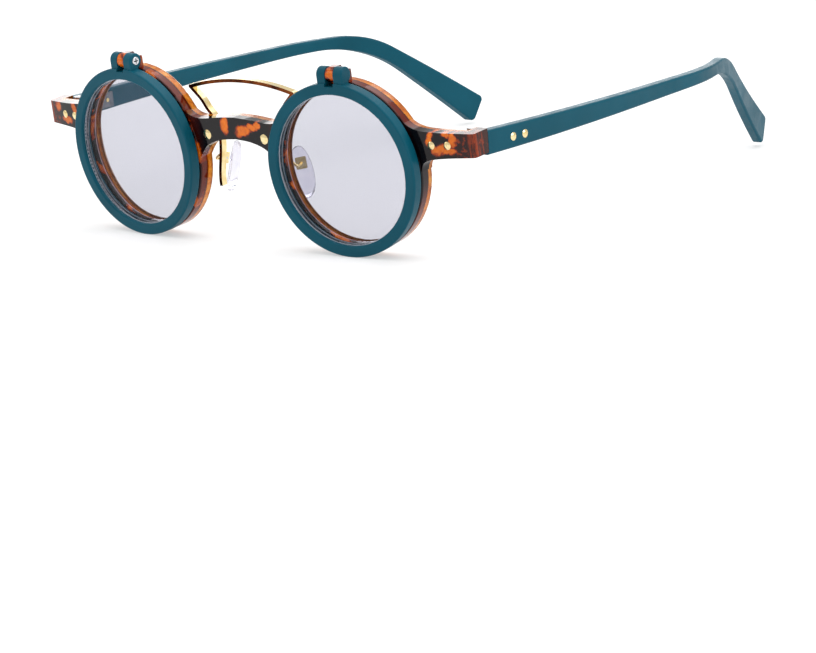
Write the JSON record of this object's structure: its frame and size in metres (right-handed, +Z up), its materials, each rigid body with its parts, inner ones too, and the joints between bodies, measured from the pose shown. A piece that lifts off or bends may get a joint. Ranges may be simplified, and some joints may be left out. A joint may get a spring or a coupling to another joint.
{
  "type": "flip-up sunglasses",
  "caption": "Round spectacles with tortoiseshell front, wire brow bar and nose pads, folding temples, and a tinted flip-up ring hinged on top of each eye.",
  "frame": {"origin": "middle of the base of the bounding box, on the surface that the opened pair stands on", "axes": "+Z up; +Y from the lenses back along the temples to the ears; +X to the wearer's left, across the front"},
  "size_m": [0.1448, 0.1598, 0.0469],
  "materials": {
    "tortoise": "polished tortoiseshell acetate, amber with dark brown blotches",
    "teal": "matte rubberised teal",
    "clear_lens": "clear coated lens",
    "tinted_lens": "light grey tinted lens",
    "gold": "polished gold plate",
    "steel": "bright machined steel",
    "silicone": "clear soft silicone"
  },
  "bodies": {
    "front": {"front_frame": "tortoise", "brow_bar": "gold", "bridge_rivets": "gold", "clear_lens_left": "clear_lens", "clear_lens_right": "clear_lens", "endpiece_rivets_left": "gold", "endpiece_rivets_right": "gold", "hinge_front_leaf_left": "steel", "hinge_front_leaf_right": "steel", "hinge_screw_left": "steel", "hinge_screw_right": "steel", "pad_arm_left": "gold", "pad_arm_right": "gold", "pad_pin_left": "steel", "pad_pin_right": "steel"},
    "flip_left": {"flip_ring_left": "teal", "tinted_lens_left": "tinted_lens", "flip_screw_left": "steel"},
    "temple_left": {"temple_left": "teal", "hinge_temple_leaf_left": "steel", "temple_rivets_left": "gold"},
    "pad_left": {"nose_pad_left": "silicone"},
    "flip_right": {"flip_ring_right": "teal", "tinted_lens_right": "tinted_lens", "flip_screw_right": "steel"},
    "temple_right": {"temple_right": "teal", "hinge_temple_leaf_right": "steel", "temple_rivets_right": "gold"},
    "pad_right": {"nose_pad_right": "silicone"}
  },
  "joints": [
    {"name": "flip_hinge_left", "type": "hinge", "parent": "front", "child": "flip_left", "pos_m": [0.03431, -0.0771, 0.0449], "axis": [-0.9971, -0.0764, -0.0068], "range_deg": [0, 90]},
    {"name": "flip_hinge_right", "type": "hinge", "parent": "front", "child": "flip_right", "pos_m": [-0.03431, -0.0771, 0.0449], "axis": [-0.9971, 0.0764, 0.0068], "range_deg": [0, 90]},
    {"name": "temple_hinge_left", "type": "hinge", "parent": "front", "child": "temple_left", "pos_m": [0.0652, -0.06456, 0.02853], "axis": [0, 0, 1], "range_deg": [0, 78]},
    {"name": "temple_hinge_right", "type": "hinge", "parent": "front", "child": "temple_right", "pos_m": [-0.0652, -0.06456, 0.02853], "axis": [0, 0, -1], "range_deg": [0, 86]},
    {"name": "pad_rock_left", "type": "hinge", "parent": "front", "child": "pad_left", "pos_m": [0.01244, -0.06655, 0.01991], "axis": [0.7063, 0.6993, 0.1097], "range_deg": [-8, 8]},
    {"name": "pad_rock_right", "type": "hinge", "parent": "front", "child": "pad_right", "pos_m": [-0.01244, -0.06655, 0.01991], "axis": [-0.7063, 0.6993, 0.1097], "range_deg": [-8, 8]}
  ]
}
